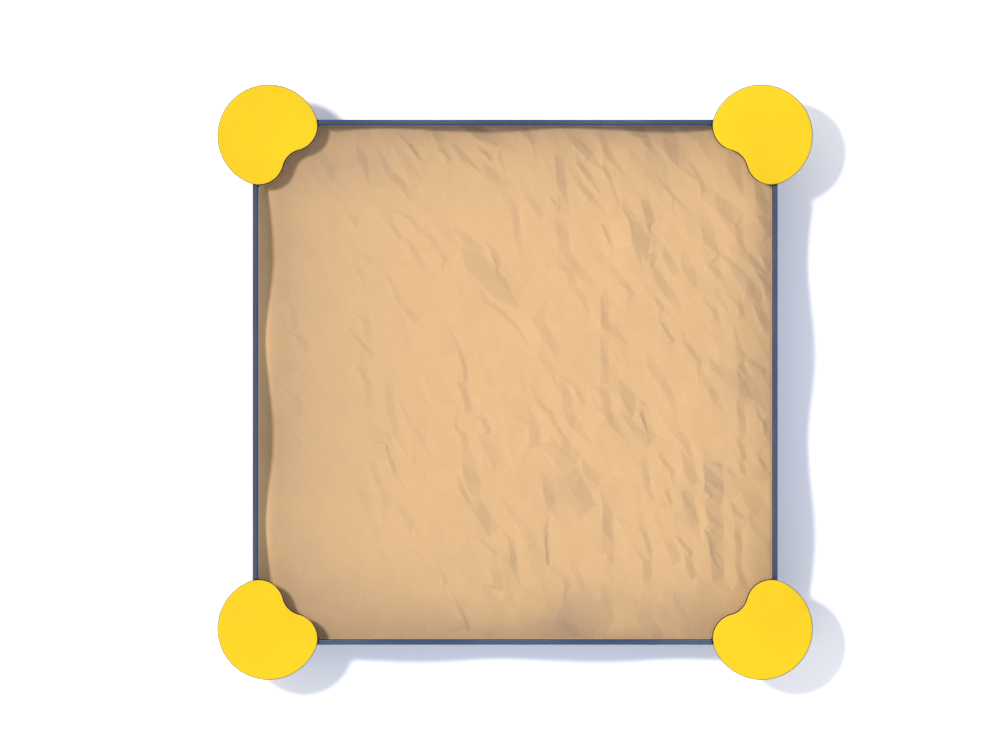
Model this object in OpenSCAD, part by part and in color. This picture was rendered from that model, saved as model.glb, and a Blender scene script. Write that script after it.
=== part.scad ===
// Square sandbox of coloured three-layer boards with kidney-shaped corner seats,
// filled with sand and closed by a loose fabric cover that folds in half.
// Millimetres, +Z up. The origin is on the ground at the centre of the box.

/* [Box] */
// Outer side of the square box
box_side = 2000; // [1200:10:3000]
// Thickness of every wall and seat board
board_t = 19; // [15:1:25]
// Mean height of the wavy top edge of a wall
wall_h = 300; // [290:1:360]
// Rise of each wave above the mean height, and fall below it
wave_rise = 31; // [10:1:40]
// Length of one full wave
wave_length = 693; // [400:1:1200]
// Gap left where one wall butts against the next
butt_gap = 0.5; // [0.2:0.1:2]

/* [Seats] */
// Height of the seat tops above the ground
seat_h = 300; // [250:1:360]
// Distance of the seat's setting-out point from both outer wall faces
seat_inset = 57.5; // [50:0.5:70]
// Distance of a lobe's centre outwards from the setting-out point
lobe_out = 34.3; // [20:0.1:45]
// Distance of a lobe's centre along the wall from the setting-out point
lobe_along = 94.8; // [85:0.1:110]
// Radius of the two round lobes
lobe_r = 96; // [78:1:105]
// Distance from the setting-out point to the nearest point of the inner notch
notch_reach = 113.5; // [105:0.5:120]
// Distance from the setting-out point to the seat's outermost point
outer_reach = 189.7; // [170:0.1:200]
// Gap between a seat's end and the rising edge of the wall beside it
seat_gap = 3; // [1:0.5:6]

/* [Sand and cover] */
// Height of the levelled sand above the ground
sand_h = 186; // [150:1:190]
// Thickness of the ground cloth under the sand
ground_cloth_t = 2; // [1:0.5:4]
// Gap between the sand's side and the walls
sand_gap = 0.5; // [0.2:0.1:2]
// Thickness that the creased cover takes up
cover_t = 12; // [4:1:20]
// Gap between the cover and the sand under it
cover_lift_gap = 1; // [0.5:0.5:3]
// Gap between the cover's edge and the walls
cover_edge_gap = 4; // [2:0.5:8]
// Gap between the cover's cut corners and the seats above them
cover_seat_gap = 6; // [3:0.5:12]
// Gap from the fold line to each half of the cover
fold_gap = 0.3; // [0.3:0.1:1]

/* [Corner brackets] */
// Thickness of all bracket steel
steel_t = 4; // [3:0.5:6]
// Length of each leg of the corner angle
angle_leg = 80; // [75:1:90]
// Side of the square foot plate
foot_side = 100; // [100:1:120]
// Side of the square plate under the seat
seat_plate_side = 96; // [94:1:100]
// Cut across the free corner of the plate under the seat
seat_plate_cut = 24; // [10:1:28]
// Radius of the ground anchor holes
anchor_hole_r = 7; // [5:0.5:9]
// Distance of the ground anchor hole from both outer wall faces
anchor_inset = 90; // [85:1:100]

/* [Middle brackets] */
// Width of a middle bracket along the wall
middle_w = 60; // [50:1:100]
// Depth of sand over the top of a middle bracket
middle_cover = 20; // [10:1:40]
// Length of a middle bracket's foot
middle_foot = 130; // [110:1:160]
// Distance of its anchor hole from the wall's inner face
middle_anchor = 95; // [80:1:100]

/* [Fasteners] */
// Radius of the wall bolts
bolt_r = 4; // [3:0.5:5]
// Length of the wall bolts that stands out beyond their nuts
bolt_end = 3.4; // [1:0.1:8]
// Extra radius of the holes that wall bolts pass through
bolt_play = 0.5; // [0.2:0.1:1]
// Radius of a wall bolt's domed head
dome_r = 10; // [8:0.5:12]
// Height of a wall bolt's domed head
dome_h = 5; // [3:0.5:6]
// Distance of the corner bolts from the outer corner
corner_bolt_inset = 60; // [55:1:70]
// Height of the lower corner bolts
corner_bolt_low = 70; // [50:1:100]
// Distance of the upper corner bolts below the seat boards
corner_bolt_drop = 46; // [30:1:60]
// Height of the lower middle bolts
middle_bolt_low = 60; // [45:1:80]
// Distance of the upper middle bolts below the bracket's top
middle_bolt_drop = 36; // [20:1:45]
// Radius of a countersunk middle bolt's head
sunk_r = 8; // [7:0.5:9]
// Radial play between a countersunk head and its cone
sunk_play = 0.12; // [0.1:0.02:0.5]
// Radius of the washers
washer_r = 8; // [7.5:0.5:9]
// Thickness of the washers
washer_t = 1.6; // [1:0.1:2.5]
// Width of the lock nuts across their flats
nut_flats = 13; // [12:0.5:15]
// Height of the six-sided part of a lock nut
nut_h = 6.5; // [5:0.5:8]
// Height of the round collar on a lock nut
collar_h = 1.5; // [1:0.5:3]
// Radius of the screws that hold the seats
seat_screw_r = 3; // [2.5:0.5:4]
// Width of a seat screw's head across its flats
seat_screw_flats = 10; // [9:0.5:12]
// Height of a seat screw's head
seat_screw_head = 4; // [3:0.5:6]
// Nearest distance of the seat screws from the outer wall faces
seat_screw_near = 45; // [40:1:50]
// Farthest distance of the seat screws from the outer wall faces
seat_screw_far = 90; // [85:1:92]
// Outer radius of the threaded inserts in the seats
insert_r = 4.5; // [4:0.5:6]
// Length of the threaded inserts
insert_l = 11; // [8:1:12]
// Radial play of every threaded fit
thread_play = 0.05; // [0.02:0.01:0.1]

/* [Hidden] */
$fn = 64;
half_side = box_side / 2;
inner_half = half_side - board_t;
seat_under = seat_h - board_t;
plate_under = seat_under - steel_t;
cover_under = sand_h + cover_lift_gap;
cover_half_side = inner_half - cover_edge_gap;
bury_gap = 1;
pocket_r = washer_r + bury_gap;
// The seat's ends stand this far from the outer corner, so the wall steps down up to there.
seat_end = seat_inset + lobe_along + lobe_r;
wave_start = half_side - seat_end - seat_gap;
wave_steps = ceil(2 * wave_start / 12);
arc_step = 4;
middle_h = sand_h - middle_cover;
bolt_l = board_t + steel_t + washer_t + nut_h + collar_h + bolt_end;
middle_bolt_heights = [middle_bolt_low, middle_h - middle_bolt_drop];
corner_bolt_heights = [corner_bolt_low, seat_under - corner_bolt_drop];
seat_screw_places = [
    for (u = [seat_screw_near, seat_screw_far], v = [seat_screw_near, seat_screw_far]) [u, v]
];
// The seat's outline is four tangent arcs about the diagonal through its setting-out point.
lobe_sq = lobe_out * lobe_out + lobe_along * lobe_along;
lobe_diagonal = sqrt(2) * (lobe_along - lobe_out);
notch_in = notch_reach - lobe_r;
outer_in = outer_reach - lobe_r;
notch_d = (lobe_sq - notch_in * notch_in) / (lobe_diagonal - 2 * notch_in);
notch_r = notch_d - notch_reach;
outer_d = (lobe_sq - outer_in * outer_in) / (lobe_diagonal + 2 * outer_in);
outer_r = outer_d + outer_reach;
notch_c = notch_d / sqrt(2);
outer_c = outer_d / sqrt(2);
lobe_outer_angle = atan2(lobe_along - outer_c, -lobe_out - outer_c);
lobe_notch_angle = atan2(notch_c - lobe_along, notch_c + lobe_out);

// Height of the wavy edge at a distance s from the middle of the wall.
function wave_height(s) = wall_h + wave_rise * sin(360 * s / wave_length);

// Points of an arc about a centre c from angle a to angle b, at most arc_step apart.
function arc_points(c, r, a, b) =
    let (n = ceil(abs(b - a) / arc_step))
    [for (i = [0:n]) c + r * [cos(a + (b - a) * i / n), sin(a + (b - a) * i / n)]];

// The seat's outline from the outer corner of the box, grown outwards by a gap.
function seat_outline(grow = 0) =
    let (p = [seat_inset, seat_inset])
    concat(
        arc_points(p + [outer_c, outer_c], outer_r + grow, lobe_outer_angle, 450 - lobe_outer_angle),
        arc_points(p + [lobe_along, -lobe_out], lobe_r + grow, 90 - lobe_outer_angle, 90 - lobe_notch_angle),
        arc_points(p + [notch_c, notch_c], notch_r - grow, 270 - lobe_notch_angle, 180 + lobe_notch_angle),
        arc_points(p + [-lobe_out, lobe_along], lobe_r + grow, lobe_notch_angle, lobe_outer_angle)
    );

// The face of a wall board: a straight foot, a low step under each seat and the wavy edge between.
function panel_outline() = concat(
    [[-half_side, 0], [inner_half - butt_gap, 0]],
    [[inner_half - butt_gap, seat_under], [wave_start, seat_under]],
    [for (i = [0:wave_steps]) let (s = wave_start * (1 - 2 * i / wave_steps)) [s, wave_height(s)]],
    [[-wave_start, seat_under], [-half_side, seat_under]]
);

// Sets a child on one of the four walls: 0 south, 1 east, 2 north, 3 west.
module on_wall(i) {
    rotate([0, 0, 90 * i]) translate([0, -half_side, 0]) children();
}

// Sets a child in one of the four outer corners: 0 southwest, 1 southeast, 2 northeast, 3 northwest.
module in_corner(i) {
    rotate([0, 0, 90 * i]) translate([-half_side, -half_side, 0]) children();
}

// Sets a child on a wall's outer face with its +Z pointing out of the wall.
module on_bolt_axis(s, z) {
    translate([s, 0, z]) rotate([90, 0, 0]) children();
}

// The two bolt axes near each end of one wall.
module on_corner_bolts() {
    for (s = [corner_bolt_inset - half_side, half_side - corner_bolt_inset], z = corner_bolt_heights)
        on_bolt_axis(s, z) children();
}

// The two bolt axes in the middle of one wall.
module on_middle_bolts() {
    for (z = middle_bolt_heights) on_bolt_axis(0, z) children();
}

// A round hole through a wall and the bracket behind it.
module bolt_hole() {
    translate([0, 0, -bolt_l]) cylinder(h = bolt_l + 1, r = bolt_r + bolt_play);
}

// The cone that a countersunk head sits in, grown by a radial gap.
module sunk_cone(grow = 0) {
    translate([0, 0, -sunk_r + bolt_r])
        cylinder(h = sunk_r - bolt_r, r1 = bolt_r + grow, r2 = sunk_r + grow);
}

module wall_panel(i) {
    on_wall(i) difference() {
        translate([0, board_t, 0]) rotate([90, 0, 0]) linear_extrude(board_t) polygon(panel_outline());
        on_corner_bolts() bolt_hole();
        on_middle_bolts() bolt_hole();
        on_middle_bolts() sunk_cone(sunk_play);
    }
}

module corner_seat(i) {
    in_corner(i) difference() {
        translate([0, 0, seat_under]) linear_extrude(board_t) polygon(seat_outline());
        for (p = seat_screw_places) translate([p[0], p[1], seat_under - 1])
            cylinder(h = insert_l + 1.5, r = insert_r + thread_play);
    }
}

// One foot plate, one upright angle and one plate under the seat, welded together.
module corner_bracket(i) {
    in_corner(i) difference() {
        translate([board_t, board_t, 0]) union() {
            cube([foot_side, foot_side, steel_t]);
            cube([steel_t, angle_leg, seat_under]);
            cube([angle_leg, steel_t, seat_under]);
            translate([0, 0, plate_under]) linear_extrude(steel_t) polygon([
                [0, 0], [seat_plate_side, 0], [seat_plate_side, seat_plate_side - seat_plate_cut],
                [seat_plate_side - seat_plate_cut, seat_plate_side], [0, seat_plate_side]
            ]);
        }
        translate([anchor_inset, anchor_inset, -1]) cylinder(h = steel_t + 2, r = anchor_hole_r);
        for (p = seat_screw_places) translate([p[0], p[1], plate_under - 1])
            cylinder(h = steel_t + 2, r = seat_screw_r + bolt_play);
        for (z = corner_bolt_heights) {
            on_bolt_axis(corner_bolt_inset, z) bolt_hole();
            mirror([1, -1, 0]) on_bolt_axis(corner_bolt_inset, z) bolt_hole();
        }
    }
}

// One upright leg and one foot with a triangular rib at each edge, folded from one plate.
module middle_bracket(i) {
    on_wall(i) difference() {
        translate([0, board_t, 0]) union() {
            translate([-middle_w / 2, 0, 0]) cube([middle_w, steel_t, middle_h]);
            translate([-middle_w / 2, 0, 0]) cube([middle_w, middle_foot, steel_t]);
            for (s = [-middle_w / 2, middle_w / 2 - steel_t]) translate([s, 0, 0])
                rotate([90, 0, 90]) linear_extrude(steel_t)
                    polygon([[0, 0], [middle_foot - 20, 0], [middle_foot - 20, steel_t + 6],
                             [steel_t + 6, middle_h - 12], [0, middle_h - 12]]);
        }
        translate([0, board_t + middle_anchor, -1]) cylinder(h = steel_t + 2, r = anchor_hole_r);
        on_middle_bolts() bolt_hole();
    }
}

// The space under the sand that the foot plates take up, with a gap round each.
module foot_space(height) {
    for (i = [0:3]) {
        in_corner(i) translate([board_t - 1, board_t - 1, -1])
            cube([foot_side + 1 + bury_gap, foot_side + 1 + bury_gap, height + 1]);
        on_wall(i) translate([-middle_w / 2 - bury_gap, board_t - 1, -1])
            cube([middle_w + 2 * bury_gap, middle_foot + 1 + bury_gap, height + 1]);
    }
}

module ground_cloth() {
    side = 2 * (inner_half - sand_gap);
    color("dimgray") difference() {
        translate([-side / 2, -side / 2, 0]) cube([side, side, ground_cloth_t]);
        foot_space(ground_cloth_t + 1);
    }
}

// The sand, moulded round the buried steel with a small gap.
module sand_bed() {
    side = 2 * (inner_half - sand_gap);
    leg = angle_leg + 1 + bury_gap;
    wrap = steel_t + 1 + bury_gap;
    color("burlywood") difference() {
        translate([-side / 2, -side / 2, ground_cloth_t]) cube([side, side, sand_h - ground_cloth_t]);
        foot_space(steel_t + bury_gap);
        for (i = [0:3]) {
            in_corner(i) translate([board_t - 1, board_t - 1, -1]) cube([wrap, leg, sand_h + 2]);
            in_corner(i) translate([board_t - 1, board_t - 1, -1]) cube([leg, wrap, sand_h + 2]);
            on_wall(i) translate([-middle_w / 2 - bury_gap, board_t, 0]) rotate([90, 0, 90])
                linear_extrude(middle_w + 2 * bury_gap)
                    polygon([[-1, -1], [middle_foot - 19, -1], [middle_foot - 19, steel_t + 8],
                             [steel_t + 8, middle_h + bury_gap], [-1, middle_h + bury_gap]]);
            on_wall(i) on_corner_bolts() nut_pocket();
            on_wall(i) on_middle_bolts() nut_pocket();
        }
    }
}

// The room that a nut and a washer take up in the sand.
module nut_pocket() {
    translate([0, 0, -bolt_l - bury_gap]) cylinder(h = bolt_l, r = pocket_r);
}

// One half of the cover: a rectangle with the two seat corners cut out. way is -1 west, 1 east.
module cover_half(way) {
    color("navajowhite") translate([0, 0, cover_under]) linear_extrude(cover_t) difference() {
        translate([way > 0 ? fold_gap : -cover_half_side, -cover_half_side])
            square([cover_half_side - fold_gap, 2 * cover_half_side]);
        for (i = [0:3]) in_corner(i) polygon(seat_outline(cover_seat_gap));
    }
}

// A bolt with a low domed head and a plain shank.
module domed_bolt() {
    ball_r = (dome_r * dome_r + dome_h * dome_h) / (2 * dome_h);
    translate([0, 0, -bolt_l]) cylinder(h = bolt_l, r = bolt_r);
    intersection() {
        translate([0, 0, dome_h - ball_r]) sphere(r = ball_r);
        cylinder(h = dome_h + 1, r = dome_r + 1);
    }
}

// A bolt whose flat head sits flush in the board, with a six-sided key recess.
module sunk_bolt() {
    difference() {
        union() {
            translate([0, 0, -bolt_l]) cylinder(h = bolt_l, r = bolt_r);
            sunk_cone();
        }
        translate([0, 0, -3]) cylinder(h = 4, r = bolt_r * 0.7, $fn = 6);
    }
}

module washer_ring() {
    translate([0, 0, -board_t - steel_t - washer_t]) difference() {
        cylinder(h = washer_t, r = washer_r);
        translate([0, 0, -1]) cylinder(h = washer_t + 2, r = bolt_r + bolt_play / 2);
    }
}

module lock_nut() {
    translate([0, 0, -board_t - steel_t - washer_t - nut_h]) difference() {
        union() {
            cylinder(h = nut_h, r = nut_flats / sqrt(3), $fn = 6);
            translate([0, 0, -collar_h]) cylinder(h = collar_h, r = nut_flats / 2 - 1);
        }
        translate([0, 0, -collar_h - 1]) cylinder(h = nut_h + collar_h + 2, r = bolt_r + thread_play);
    }
}

// A screw with a six-sided head that reaches up through the plate into an insert.
module seat_screw() {
    translate([0, 0, plate_under - seat_screw_head])
        cylinder(h = seat_screw_head, r = seat_screw_flats / sqrt(3), $fn = 6);
    translate([0, 0, plate_under]) cylinder(h = steel_t + insert_l, r = seat_screw_r);
}

module seat_insert() {
    translate([0, 0, seat_under]) difference() {
        cylinder(h = insert_l, r = insert_r);
        translate([0, 0, -1]) cylinder(h = insert_l + 2, r = seat_screw_r + thread_play);
    }
}

module panel_south() { color("royalblue") wall_panel(0); }
module panel_east() { color("royalblue") wall_panel(1); }
module panel_north() { color("royalblue") wall_panel(2); }
module panel_west() { color("royalblue") wall_panel(3); }
module seat_southwest() { color("gold") corner_seat(0); }
module seat_southeast() { color("gold") corner_seat(1); }
module seat_northeast() { color("gold") corner_seat(2); }
module seat_northwest() { color("gold") corner_seat(3); }
module corner_bracket_southwest() { color("silver") corner_bracket(0); }
module corner_bracket_southeast() { color("silver") corner_bracket(1); }
module corner_bracket_northeast() { color("silver") corner_bracket(2); }
module corner_bracket_northwest() { color("silver") corner_bracket(3); }
module middle_bracket_south() { color("silver") middle_bracket(0); }
module middle_bracket_east() { color("silver") middle_bracket(1); }
module middle_bracket_north() { color("silver") middle_bracket(2); }
module middle_bracket_west() { color("silver") middle_bracket(3); }
module cover_west_half() { cover_half(-1); }
module cover_east_half() { cover_half(1); }
module corner_bolts() { color("lightgray") for (i = [0:3]) on_wall(i) on_corner_bolts() domed_bolt(); }
module middle_bolts() { color("lightgray") for (i = [0:3]) on_wall(i) on_middle_bolts() sunk_bolt(); }
module washers() {
    color("lightgray") for (i = [0:3]) on_wall(i) {
        on_corner_bolts() washer_ring();
        on_middle_bolts() washer_ring();
    }
}
module lock_nuts() {
    color("lightgray") for (i = [0:3]) on_wall(i) {
        on_corner_bolts() lock_nut();
        on_middle_bolts() lock_nut();
    }
}
module seat_screws() {
    color("lightgray") for (i = [0:3], p = seat_screw_places)
        in_corner(i) translate([p[0], p[1], 0]) seat_screw();
}
module seat_inserts() {
    color("goldenrod") for (i = [0:3], p = seat_screw_places)
        in_corner(i) translate([p[0], p[1], 0]) seat_insert();
}

panel_south();
panel_east();
panel_north();
panel_west();
seat_southwest();
seat_southeast();
seat_northeast();
seat_northwest();
corner_bracket_southwest();
corner_bracket_southeast();
corner_bracket_northeast();
corner_bracket_northwest();
middle_bracket_south();
middle_bracket_east();
middle_bracket_north();
middle_bracket_west();
ground_cloth();
sand_bed();
cover_west_half();
cover_east_half();
corner_bolts();
middle_bolts();
washers();
lock_nuts();
seat_screws();
seat_inserts();
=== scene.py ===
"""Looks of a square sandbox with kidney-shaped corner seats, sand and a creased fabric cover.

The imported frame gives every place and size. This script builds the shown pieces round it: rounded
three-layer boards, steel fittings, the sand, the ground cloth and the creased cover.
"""

import logging
import math
from dataclasses import dataclass, field
from enum import Enum

import bpy
import numpy as np
from mathutils import Matrix, Vector, noise
from mathutils.geometry import delaunay_2d_cdt


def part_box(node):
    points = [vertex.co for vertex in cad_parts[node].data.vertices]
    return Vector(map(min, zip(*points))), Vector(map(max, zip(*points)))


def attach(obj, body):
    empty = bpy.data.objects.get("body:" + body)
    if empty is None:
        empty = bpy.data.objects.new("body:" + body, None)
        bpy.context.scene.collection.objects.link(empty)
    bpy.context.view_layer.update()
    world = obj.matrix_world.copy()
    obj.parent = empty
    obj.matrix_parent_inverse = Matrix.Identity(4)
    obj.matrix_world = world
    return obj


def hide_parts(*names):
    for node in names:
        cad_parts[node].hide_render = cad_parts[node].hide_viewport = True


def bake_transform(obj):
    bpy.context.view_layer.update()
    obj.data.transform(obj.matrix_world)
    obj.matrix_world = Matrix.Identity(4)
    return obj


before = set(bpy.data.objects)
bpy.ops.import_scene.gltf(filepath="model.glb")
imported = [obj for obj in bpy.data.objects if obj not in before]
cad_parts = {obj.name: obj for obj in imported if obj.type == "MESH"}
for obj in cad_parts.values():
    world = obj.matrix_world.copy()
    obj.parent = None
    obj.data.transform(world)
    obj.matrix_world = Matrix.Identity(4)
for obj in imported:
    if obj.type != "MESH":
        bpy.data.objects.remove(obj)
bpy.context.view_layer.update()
LOG = logging.getLogger("sandbox")
MM = 0.001
Colour = tuple[float, float, float]
Point = tuple[float, float]


class Side(Enum):
    """The four walls, each with its quarter turns from the south wall."""

    SOUTH = 0
    EAST = 1
    NORTH = 2
    WEST = 3


class Corner(Enum):
    """The four corners, each with its quarter turns from the southwest corner."""

    SOUTHWEST = 0
    SOUTHEAST = 1
    NORTHEAST = 2
    NORTHWEST = 3


class Outline(Enum):
    """The outlines that a turned fitting may have across its axis."""

    ROUND = "round"
    HEX = "hex"


# ---------------------------------------------------------------- helpers


def linked(name: str, data: bpy.types.ID) -> bpy.types.Object:
    """A new object for some data, linked to the scene."""
    obj = bpy.data.objects.new(name, data)
    bpy.context.scene.collection.objects.link(obj)
    return obj


def new_object(name: str, verts: np.ndarray, faces: list, smooth: bool = True) -> bpy.types.Object:
    """Makes a mesh object.

    Args:
        name: the piece's name.
        verts: an array of points, one row each.
        faces: lists of indices into verts.
        smooth: whether the faces are shaded smooth.

    Returns:
        The new object, linked to the scene.
    """
    mesh = bpy.data.meshes.new(name)
    mesh.from_pydata([tuple(v) for v in verts], [], faces)
    mesh.validate()
    mesh.polygons.foreach_set("use_smooth", [smooth] * len(mesh.polygons))
    mesh.update()
    return linked(name, mesh)


def fit(piece: bpy.types.Object, node: str) -> None:
    """Fixes a dressed piece to the frame in place of its CAD node."""
    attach(piece, "frame")
    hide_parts(node)
    LOG.info("%s in place of %s", piece.name, node)


def set_attribute(obj: bpy.types.Object, name: str, values: np.ndarray) -> None:
    """Stores one number per vertex under a name that materials can read."""
    attribute = obj.data.attributes.new(name, "FLOAT", "POINT")
    attribute.data.foreach_set("value", np.asarray(values, np.float32))


def tube_faces(rings: int, count: int, base: int = 0) -> list[list[int]]:
    """The faces round a stack of rings, with a cap at each end.

    Args:
        rings: how many rings there are.
        count: how many points each ring has.
        base: the index of the first point.

    Returns:
        Lists of indices.
    """
    faces = [[base + i for i in range(count - 1, -1, -1)]]
    last = base + (rings - 1) * count
    for a in range(base, last, count):
        b = a + count
        faces += [[a + i, a + (i + 1) % count, b + (i + 1) % count, b + i] for i in range(count)]
    return [*faces, [last + i for i in range(count)]]


def cell_faces(keep: np.ndarray) -> np.ndarray:
    """The faces of a grid's kept cells, as indices into its crossings taken row by row."""
    rows, columns = np.nonzero(keep)
    across = keep.shape[1] + 1
    first = rows * across + columns
    return np.stack([first, first + 1, first + across + 1, first + across], axis=1)


def cut_grid(xs: np.ndarray, z: np.ndarray, keep: np.ndarray) -> tuple[np.ndarray, np.ndarray, np.ndarray]:
    """The kept cells of a square grid.

    Args:
        xs: the grid's lines, both ways.
        z: the height at each crossing.
        keep: for each cell, by row and column, whether it is kept.

    Returns:
        The points, the faces between them, and which of the grid's crossings each point is.
    """
    used, faces = np.unique(cell_faces(keep), return_inverse=True)
    x, y = np.meshgrid(xs, xs)
    return np.column_stack([x.ravel(), y.ravel(), z.ravel()])[used], faces.reshape(-1, 4), used


def scaled(colour: Colour, factor: float) -> Colour:
    """A colour made darker or paler by a factor."""
    return tuple(c * factor for c in colour)


def smoothstep(low: float, high: float, x: np.ndarray) -> np.ndarray:
    """A smooth rise from 0 at low to 1 at high."""
    t = np.clip((x - low) / (high - low), 0.0, 1.0)
    return t * t * (3.0 - 2.0 * t)


def noise_at(x: float, y: float, scale: float, layer: float) -> float:
    """A smooth random number between -1 and 1, from a layer with about scale swells to the metre."""
    return noise.noise(Vector((x * scale, y * scale, layer)))


def quarter_turns(turns: int) -> Matrix:
    """A turn about +Z by a number of right angles."""
    return Matrix.Rotation(math.radians(90 * turns), 4, "Z")


def arc(centre: Point, radius: float, start: float, end: float, step: float = 2.5) -> list[Point]:
    """Points of an arc, with its angles in degrees and at most step degrees apart."""
    count = max(2, math.ceil(abs(end - start) / step))
    angles = [math.radians(start + (end - start) * i / count) for i in range(count + 1)]
    return [(centre[0] + radius * math.cos(a), centre[1] + radius * math.sin(a)) for a in angles]


# ---------------------------------------------------------------- finishes


class Graph:
    """A material's node graph with short ways to add and join nodes."""

    def __init__(self, name: str) -> None:
        """Starts a material whose only shader is a Principled one."""
        self.material = bpy.data.materials.new(name)
        self.material.use_nodes = True
        self.tree = self.material.node_tree
        self.shader = self.tree.nodes["Principled BSDF"]

    def add(self, kind: str, inputs: dict | None = None, **settings: object) -> bpy.types.Node:
        """Adds a node.

        Args:
            kind: the node's type name without ShaderNode.
            inputs: socket name or number to a value, or to a socket to join.
            **settings: the node's own properties.

        Returns:
            The node.
        """
        node = self.tree.nodes.new("ShaderNode" + kind)
        for key, value in settings.items():
            setattr(node, key, value)
        for key, value in (inputs or {}).items():
            self.feed(node, key, value)
        return node

    def feed(self, node: bpy.types.Node, key: str | int, value: object) -> None:
        """Joins a socket to an input, or sets the input's value."""
        if isinstance(value, bpy.types.NodeSocket):
            self.tree.links.new(value, node.inputs[key])
        else:
            node.inputs[key].default_value = value

    def shade(self, **inputs: object) -> None:
        """Sets or joins the shader's inputs, with underscores for spaces."""
        for key, value in inputs.items():
            self.feed(self.shader, key.replace("_", " "), value)

    def place(self, scale: tuple = (1.0, 1.0, 1.0), turn: float = 0.0) -> bpy.types.NodeSocket:
        """The object's own coordinates, stretched by scale and turned about Z."""
        where = self.add("TexCoord").outputs["Object"]
        inputs = {"Vector": where, "Scale": scale, "Rotation": (0.0, 0.0, turn)}
        return self.add("Mapping", inputs).outputs[0]

    def noise(self, scale: float, detail: float = 3.0, where: object = None) -> bpy.types.NodeSocket:
        """A noise pattern with that many features to the metre."""
        inputs = {"Vector": where or self.place(), "Scale": scale, "Detail": detail}
        return self.add("TexNoise", inputs).outputs["Fac"]

    def cells(self, scale: float, where: object = None, feature: str = "F1") -> bpy.types.Node:
        """A pattern of cells with that many to the metre."""
        return self.add("TexVoronoi", {"Vector": where or self.place(), "Scale": scale}, feature=feature)

    def span(self, value: object, low: float, high: float, to_low: float = 0.0, to_high: float = 1.0,
             smooth: bool = False) -> bpy.types.NodeSocket:
        """Maps a value from one range to another, clamped."""
        inputs = {"Value": value, "From Min": low, "From Max": high, "To Min": to_low, "To Max": to_high}
        kind = "SMOOTHSTEP" if smooth else "LINEAR"
        return self.add("MapRange", inputs, interpolation_type=kind).outputs[0]

    def maths(self, operation: str, a: object, b: object = 0.0) -> bpy.types.NodeSocket:
        """One arithmetic step."""
        return self.add("Math", {0: a, 1: b}, operation=operation).outputs[0]

    def mix(self, factor: object, a: object, b: object, blend: str = "MIX") -> bpy.types.NodeSocket:
        """Mixes two colours."""
        colours = [(*c, 1.0) if isinstance(c, tuple) and len(c) == 3 else c for c in (a, b)]
        inputs = {"Factor": factor, 6: colours[0], 7: colours[1]}
        return self.add("Mix", inputs, data_type="RGBA", blend_type=blend).outputs[2]

    def attribute(self, name: str) -> bpy.types.NodeSocket:
        """A number stored on the mesh."""
        return self.add("Attribute", attribute_name=name).outputs["Fac"]

    def bump(self, *layers: tuple[object, float]) -> None:
        """Adds bumps, each a height pattern and its depth in metres, the last on top."""
        normal = None
        for height, depth in layers:
            node = self.add("Bump", {"Height": height, "Distance": depth, "Strength": 1.0})
            if normal is not None:
                self.feed(node, "Normal", normal)
            normal = node.outputs[0]
        self.shade(Normal=normal)


@dataclass(frozen=True)
class LayeredBoard:
    """Moulded board with a coloured skin on each face and a dark core between them."""

    name: str
    skin: Colour
    skin_t: float = 4.0 * MM
    core: Colour = (0.052, 0.046, 0.042)
    gloss: float = 0.25
    blur: float = 0.2 * MM

    def material(self) -> bpy.types.Material:
        """Builds the finish: pebbled skin, speckled core with fine tool lines, faint scuffs and dust."""
        g = Graph(self.name)
        blur = self.blur
        depth = g.maths("ADD", g.attribute("board_depth"), g.span(g.noise(90.0), 0, 1, -blur, blur))
        in_core = g.span(depth, self.skin_t - blur, self.skin_t + blur, smooth=True)
        cloudy = g.noise(3.0, 4.0)
        skin = g.mix(g.span(cloudy, 0.3, 0.7), scaled(self.skin, 0.93), scaled(self.skin, 1.05))
        scuff = g.span(g.noise(28.0, 8.0, g.place((1.0, 0.16, 0.5), 0.5)), 0.66, 0.74)
        worn = tuple(0.75 * c + 0.20 for c in self.skin)
        skin = g.mix(g.maths("MULTIPLY", scuff, 0.06), skin, worn)
        speck = g.span(g.noise(700.0, 2.0), 0.35, 0.65)
        core = g.mix(speck, scaled(self.core, 0.8), scaled(self.core, 1.25))
        colour = g.mix(in_core, skin, core)
        rough = g.span(g.noise(14.0, 6.0), 0.3, 0.7, 0.4, 0.52)
        rough = g.maths("ADD", rough, g.maths("MULTIPLY", in_core, 0.16))
        g.shade(Base_Color=colour, Roughness=rough)
        g.shader.inputs["Specular IOR Level"].default_value = self.gloss
        pebbles = g.cells(520.0, feature="SMOOTH_F1").outputs["Distance"]
        tool = g.maths("MULTIPLY", in_core, g.noise(900.0, 1.0, g.place((0.08, 0.08, 1.0))))
        g.bump((g.noise(9.0, 2.0), 0.0006), (pebbles, 0.00014), (tool, 0.0001))
        return g.material


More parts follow.
